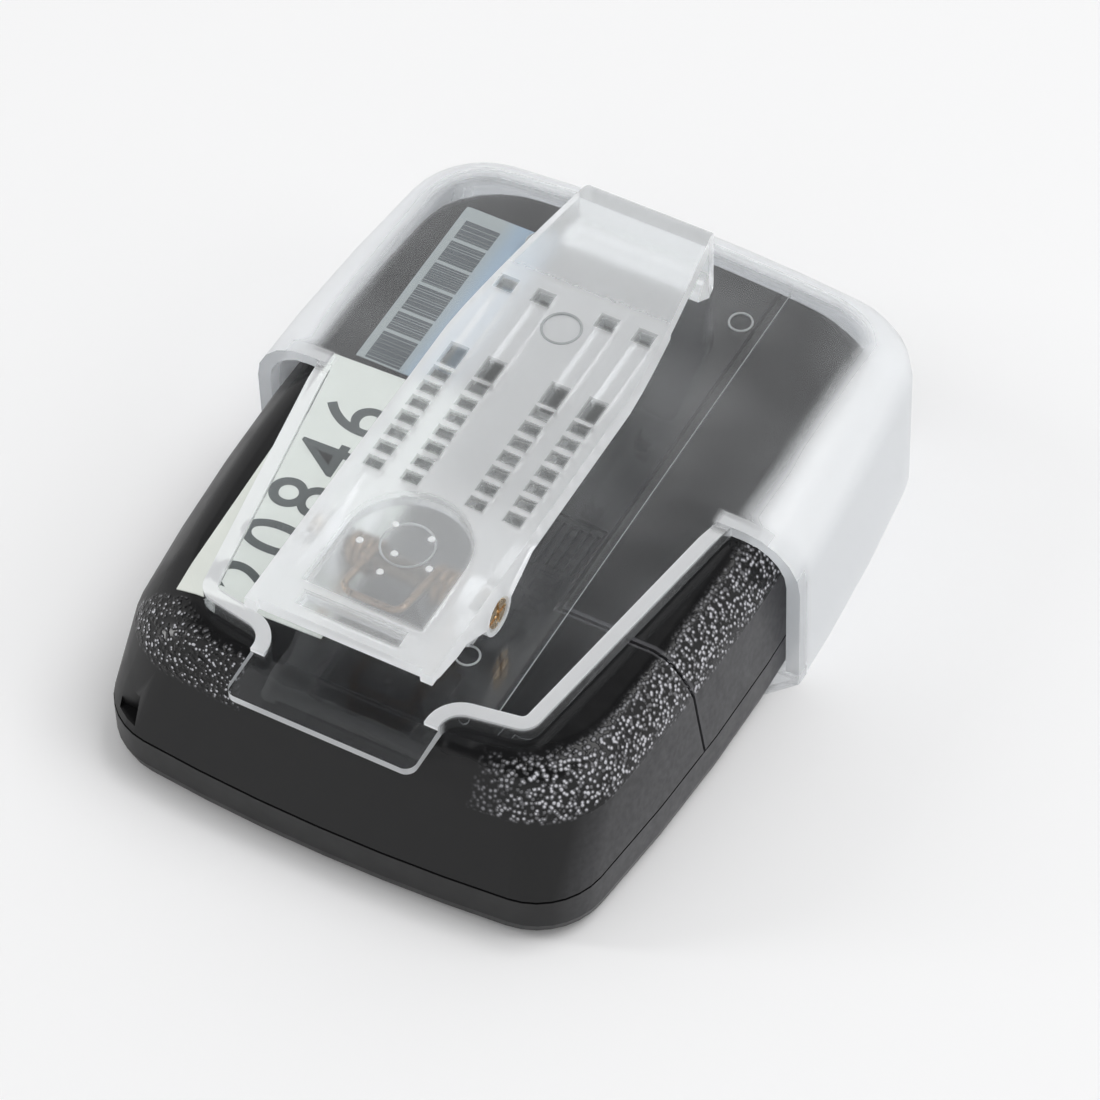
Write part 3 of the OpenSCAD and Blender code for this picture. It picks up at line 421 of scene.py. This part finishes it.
finishes = {
    "clear_plastic": clear_plastic(),
    "frosted_plastic": frosted_plastic(),
    "case_plastic": case_black("case_black", True),
    "latch_plastic": case_black("latch_black", False),
    "brass_pin": peened_brass(),
    "spring_wire": metal("spring_bronze", (0.31, 0.225, 0.155), 0.3),
    "lens_plastic": plain_moulding("lens_plastic", (0.5, 0.53, 0.5), 0.06, Transmission_Weight=0.9),
    "foam": plain_moulding("gasket_foam", (0.03, 0.03, 0.03), 0.9),
    "display_glass": dot_display(),
    "white_plastic": plain_moulding("white_plastic", (0.8, 0.8, 0.76), 0.4),
    "soft_rubber": plain_moulding("soft_rubber", (0.12, 0.12, 0.13), 0.7),
    "key_plastic": plain_moulding("key_plastic", (0.05, 0.05, 0.055), 0.3),
    "red_lamp": plain_moulding("red_lamp", (0.6, 0.03, 0.02), 0.1, Transmission_Weight=0.5),
    "board": plain_moulding("board_green", (0.02, 0.16, 0.07), 0.3),
    "chip_plastic": plain_moulding("chip_black", (0.02, 0.02, 0.022), 0.5),
    "steel": metal("bright_steel", (0.6, 0.6, 0.62), 0.3),
    "tin_plate": metal("tin_plate", (0.68, 0.69, 0.7), 0.3),
    "gilt_brass": metal("loop_brass", (0.72, 0.55, 0.25), 0.3),
    "cell_sleeve": plain_moulding("cell_sleeve", (0.7, 0.38, 0.08), 0.3),
    "paper_label": plain_moulding("paper_label", (0.66, 0.685, 0.64), 0.6),
    "bar_label": bar_paper(),
}
slot_of = {row["node"]: row["material_slot"] for row in frame["record"]["subparts"]}
body_of = {n: b for b, ns in frame["record"]["behaviour"]["bodies"].items() for n in ns}


def wear(obj, finish):
    """obj shows this finish on every face."""
    obj.data.materials.clear()
    obj.data.materials.append(finish.material)
    for face in obj.data.polygons:
        face.material_index = 0


for name, obj in nodes.items():
    wear(obj, finishes[slot_of[name]])


# ---------------------------------------------------------------- pieces


def piece(name, bm, finish, body, smooth=None):
    """A finished mesh as an object that rides on a body."""
    mesh = bpy.data.meshes.new(name)
    bm.to_mesh(mesh)
    bm.free()
    obj = bpy.data.objects.new(name, mesh)
    bpy.context.scene.collection.objects.link(obj)
    if smooth is not None:
        mesh.shade_smooth()
        mesh.set_sharp_from_angle(angle=math.radians(smooth))
    wear(obj, finish)
    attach(obj, body)
    return obj


def eased_rim(bm):
    """Rounds the bead and the mouth's rim, and lets the bead down towards the plate where they meet."""
    top = plate_top + BEAD_HEIGHT * MM
    run_down, drop = 3 * MM, 0.5 * MM
    near = 0.02 * MM
    sharp = 0.8
    everything = bm.verts[:] + bm.edges[:] + bm.faces[:]
    bmesh.ops.bisect_plane(bm, geom=everything, plane_co=(0, mouth - run_down, 0), plane_no=(0, 1, 0))
    for vert in bm.verts:
        if abs(vert.co.z - top) < near and vert.co.y > mouth - 1 * MM:
            vert.co.z -= drop
    edges = []
    for edge in bm.edges:
        if len(edge.link_faces) != 2 or edge.calc_face_angle() < sharp:
            continue
        a, b = (vert.co for vert in edge.verts)
        at_top = max(a.z, b.z) > top - near and min(a.z, b.z) > top - drop - 0.05 * MM
        on_bead = at_top and max(a.y, b.y) < mouth + near
        on_rim = abs(a.y - mouth) < near and abs(b.y - mouth) < near
        if on_bead or on_rim:
            edges.append(edge)
    bmesh.ops.bevel(
        bm, geom=edges, offset=0.3 * MM, offset_type="OFFSET", segments=3, profile=0.5,
        affect="EDGES", clamp_overlap=True, material=-1,
    )


def dressed(node, smooth=32, shape=None):
    """A joined and smoothly shaded copy of a CAD node, which stands for it."""
    bm = bmesh.new()
    bm.from_mesh(nodes[node].data)
    bmesh.ops.remove_doubles(bm, verts=bm.verts, dist=2e-6)
    bmesh.ops.dissolve_limit(bm, angle_limit=math.radians(0.2), verts=bm.verts, edges=bm.edges)
    if shape:
        shape(bm)
    obj = piece(node + "_skin", bm, finishes[slot_of[node]], body_of[node], smooth)
    weighted = obj.modifiers.new("flat_faces_first", "WEIGHTED_NORMAL")
    weighted.keep_sharp = True
    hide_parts(node)
    return obj


dressed("holster_shell", shape=eased_rim)
for name in ("clip_lever", "front_housing", "rear_housing", "battery_door", "pivot_pin"):
    dressed(name)

spring = dressed("clip_spring", 60)
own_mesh(spring)

# The clear pieces cast no shadow, so that what lies under them isn't darkened.
for name in ("holster_shell_skin", "clip_lever_skin"):
    bpy.data.objects[name].visible_shadow = False


# ---------------------------------------------------------------- print and marks

paper_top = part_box("number_label")[1].z
bars_low, bars_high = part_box("barcode_label")
ink = plain_moulding("label_ink", (0.035, 0.045, 0.045), 0.55)
bar_ink = plain_moulding("bar_ink", (0.05, 0.062, 0.07), 0.5)
key_print = plain_moulding("key_print", (0.62, 0.63, 0.62), 0.5)
witness = plain_moulding("moulding_witness", (0.5, 0.52, 0.53), 0.35, Transmission_Weight=0.4)


def digits(name, text, spot, height, pitch, turn):
    """A row of printed digits that starts at spot and runs along the turned X axis."""
    narrowing, thickness, half_depth = 0.88, 0.012 * MM, 0.002
    joined = bmesh.new()
    for i, character in enumerate(text):
        curve = bpy.data.curves.new(name + character, "FONT")
        curve.body = character
        curve.align_x = "CENTER"
        curve.extrude = half_depth
        curve.offset = 0.004
        flat = bpy.data.objects.new(name + character, curve)
        mesh = bpy.data.meshes.new_from_object(flat)
        tall = max(v.co.y for v in mesh.vertices)
        mesh.transform(
            Matrix.Translation(spot)
            @ Matrix.Rotation(turn, 4, "Z")
            @ Matrix.Translation((pitch * i, 0, 0))
            @ Matrix.Diagonal((narrowing * height / tall, height / tall, thickness / (2 * half_depth), 1))
        )
        joined.from_mesh(mesh)
        bpy.data.objects.remove(flat)
        bpy.data.curves.remove(curve)
        bpy.data.meshes.remove(mesh)
    return piece(name, joined, ink, "receiver")


def block(bm, low, high):
    """A box between two corners, in metres."""
    made = bmesh.ops.create_cube(bm, size=1)["verts"]
    bmesh.ops.scale(bm, vec=high - low, verts=made)
    bmesh.ops.translate(bm, vec=(low + high) / 2, verts=made)


def bar_print(name, low, high):
    """A run of bars across the label in six groups, with random widths in each."""
    group_lengths, group_gap = (2.65, 2.95, 2.95, 3.65, 2.55, 3.9), 0.45
    widths = random.Random(5)
    bm = bmesh.new()
    x0, x1 = low.x + 0.9 * MM, low.x + 4.9 * MM
    y = high.y - 1.8 * MM
    for length in group_lengths:
        end = y - length * MM
        while y > end:
            bar = widths.choice((0.25, 0.4, 0.6)) * MM
            stop = max(end, y - bar)
            block(bm, Vector((x0, stop, high.z - 0.01 * MM)), Vector((x1, y, high.z + 0.012 * MM)))
            y = stop - widths.choice((0.04, 0.07)) * MM
        y = end - group_gap * MM
    return piece(name, bm, bar_ink, "receiver")


def hoop(bm, centre, radius, wire):
    """A round hair of plastic, half sunk in the surface at centre."""
    upright = Matrix.Translation(centre + Vector((radius, 0, 0))) @ Matrix.Rotation(math.pi / 2, 4, "X")
    start = bmesh.ops.create_circle(bm, segments=8, radius=wire, matrix=upright)["verts"]
    ring = start + list({edge for vert in start for edge in vert.link_edges})
    bmesh.ops.spin(bm, geom=ring, cent=centre, axis=(0, 0, 1), angle=2 * math.pi, steps=40, use_merge=True)


def moulding_marks():
    """Rims of the ejector marks and the flow line on the holster's plate, and two rims on the clip."""
    low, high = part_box("holster_shell")
    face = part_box("clip_lever")[1].z - 0.2 * MM
    pad_depth = 1.2 * MM
    line_x, line_width = 14.4 * MM, 0.08 * MM
    plate = bmesh.new()
    for x, y in ((11.7 * MM, mouth + 24.2 * MM), (8.4 * MM, low.y + 14.6 * MM)):
        for side in (-1, 1):
            hoop(plate, Vector((side * x, y, plate_top)), 1.2 * MM, 0.12 * MM)
    line_start = Vector((line_x, low.y + 9.6 * MM, plate_top - 0.02 * MM))
    line_end = Vector((line_x + line_width, high.y - 6.5 * MM, plate_top + 0.03 * MM))
    block(plate, line_start, line_end)
    clip = bmesh.new()
    hoop(clip, Vector((0, mouth + 8.4 * MM, face)), 2.0 * MM, 0.14 * MM)
    hoop(clip, Vector((0, pivot_y + 0.5 * MM, face - pad_depth)), 2.7 * MM, 0.12 * MM)
    for name, bm, node in (("plate_marks", plate, "holster_shell"), ("clip_marks", clip, "clip_lever")):
        bmesh.ops.recalc_face_normals(bm, faces=bm.faces)
        piece(name, bm, witness, body_of[node], 60)


def key_marks():
    """A printed sign on each key: two arrow heads, a dot and a square."""
    thickness, rounding = 0.03 * MM, 0.15 * MM
    signs = {
        "key_left": (3, 1.5, math.pi / 2),
        "key_read": (24, 1.1, 0.0),
        "key_menu": (4, 1.4, math.pi / 4),
        "key_right": (3, 1.5, -math.pi / 2),
    }
    for key, (corners, radius, turn) in signs.items():
        low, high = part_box(key)
        middle = (low + high) / 2
        bm = bmesh.new()
        place = Matrix.Translation((middle.x, middle.y, low.z)) @ Matrix.Rotation(turn, 4, "Z")
        bmesh.ops.create_cone(
            bm, cap_ends=True, cap_tris=False, segments=corners,
            radius1=radius * MM, radius2=radius * MM, depth=thickness, matrix=place,
        )
        upright = [e for e in bm.edges if abs(e.verts[0].co.z - e.verts[1].co.z) > thickness * 2 / 3]
        bmesh.ops.bevel(
            bm, geom=upright, offset=rounding, offset_type="OFFSET", segments=2, profile=0.5,
            affect="EDGES", clamp_overlap=True, material=-1,
        )
        piece(key + "_sign", bm, key_print, body_of[key])


first_digit = Vector((-12.2 * MM, -24.3 * MM, paper_top + 0.01 * MM))
digits("label_digits", "20846", first_digit, height=7.2 * MM, pitch=5.7 * MM, turn=math.radians(92.3))
bar_print("bar_print", bars_low, bars_high)
moulding_marks()
key_marks()


# ---------------------------------------------------------------- stage


def stage_floor():
    """White paper, eight metres across."""
    bm = bmesh.new()
    bmesh.ops.create_grid(bm, x_segments=1, y_segments=1, size=4)
    mesh = bpy.data.meshes.new("floor")
    bm.to_mesh(mesh)
    bm.free()
    floor = bpy.data.objects.new("floor", mesh)
    bpy.context.scene.collection.objects.link(floor)
    paper = Finish("backdrop_paper", FLOOR_WHITE, Roughness=0.9, Specular_IOR_Level=0.1)
    paper.tint(paper.noise(60.0), FLOOR_WHITE, tuple(c * 0.995 for c in FLOOR_WHITE))
    wear(floor, paper)


def world_light(seen, overhead, cast):
    """A surround of the colour seen, whose reflections fall to the share overhead about 50 degrees up.

    Matt surfaces are lit by it with the strength cast.
    """
    dark_from, dark_to = 0.764, 0.78
    world = bpy.data.worlds.new("surround")
    bpy.context.scene.world = world
    world.use_nodes = True
    tree = world.node_tree
    plain = tree.nodes["Background"]
    plain.inputs["Color"].default_value = (1, 1, 1, 1)
    plain.inputs["Strength"].default_value = cast
    bright = tree.nodes.new("ShaderNodeBackground")
    bright.inputs["Color"].default_value = (*seen, 1)
    height = tree.nodes.new("ShaderNodeSeparateXYZ")
    tree.links.new(tree.nodes.new("ShaderNodeTexCoord").outputs["Generated"], height.inputs[0])
    fade = tree.nodes.new("ShaderNodeMapRange")
    for key, value in {"From Min": dark_from, "From Max": dark_to, "To Min": 1.0, "To Max": overhead}.items():
        fade.inputs[key].default_value = value
    tree.links.new(height.outputs["Z"], fade.inputs["Value"])
    rays = tree.nodes.new("ShaderNodeLightPath")

    def larger(a, b):
        step = tree.nodes.new("ShaderNodeMath")
        step.operation = "MAXIMUM"
        tree.links.new(a, step.inputs[0])
        tree.links.new(b, step.inputs[1])
        return step.outputs[0]

    seen_directly = rays.outputs["Is Camera Ray"]
    tree.links.new(larger(fade.outputs["Result"], seen_directly), bright.inputs["Strength"])
    total = larger(larger(seen_directly, rays.outputs["Is Glossy Ray"]), rays.outputs["Is Transmission Ray"])
    mix = tree.nodes.new("ShaderNodeMixShader")
    tree.links.new(total, mix.inputs[0])
    tree.links.new(plain.outputs[0], mix.inputs[1])
    tree.links.new(bright.outputs[0], mix.inputs[2])
    tree.links.new(mix.outputs[0], tree.nodes["World Output"].inputs["Surface"])


def softbox(name, direction, distance, size, watts):
    """An area lamp that looks at the object from that direction."""
    data = bpy.data.lights.new(name, "AREA")
    data.shape = "RECTANGLE"
    data.size, data.size_y = size
    data.energy = watts
    lamp = bpy.data.objects.new(name, data)
    bpy.context.scene.collection.objects.link(lamp)
    lamp.location = Vector(direction).normalized() * distance
    lamp.rotation_euler = (-Vector(direction)).to_track_quat("-Z", "Y").to_euler()


def camera(azimuth, elevation, roll, distance, target, lens):
    """Looks at target from that side and height, turned by roll; angles in degrees."""
    a, e = math.radians(azimuth), math.radians(elevation)
    back = Vector((math.sin(a) * math.cos(e), -math.cos(a) * math.cos(e), math.sin(e)))
    across = Vector((0, 0, 1)).cross(back).normalized()
    up = back.cross(across)
    turned = Matrix((across, up, back)).transposed() @ Matrix.Rotation(math.radians(roll), 3, "Z")
    data = bpy.data.cameras.new("camera")
    data.lens = lens
    data.clip_start, data.clip_end = 0.05, 20
    cam = bpy.data.objects.new("camera", data)
    bpy.context.scene.collection.objects.link(cam)
    cam.location = Vector(target) + back * distance
    cam.rotation_euler = turned.to_euler()
    bpy.context.scene.camera = cam


stage_floor()
world_light(seen=(0.9, 0.9, 0.905), overhead=0.02, cast=0.6)
softbox("overhead_softbox", direction=(0.42, 0.28, 1), distance=1.4, size=(0.8, 0.8), watts=7.5)
softbox("side_softbox", direction=(0.8, 0.1, 0.5), distance=1.1, size=(0.5, 0.5), watts=1.0)
softbox("left_strip", direction=(-0.8, -0.35, 0.4), distance=1.2, size=(0.12, 0.6), watts=2.6)
camera(azimuth=30.62, elevation=50.6, roll=-2.19, distance=0.6, target=(0.00474, -0.0009, 0.010), lens=196.36)
bpy.context.scene.view_settings.view_transform = "Standard"
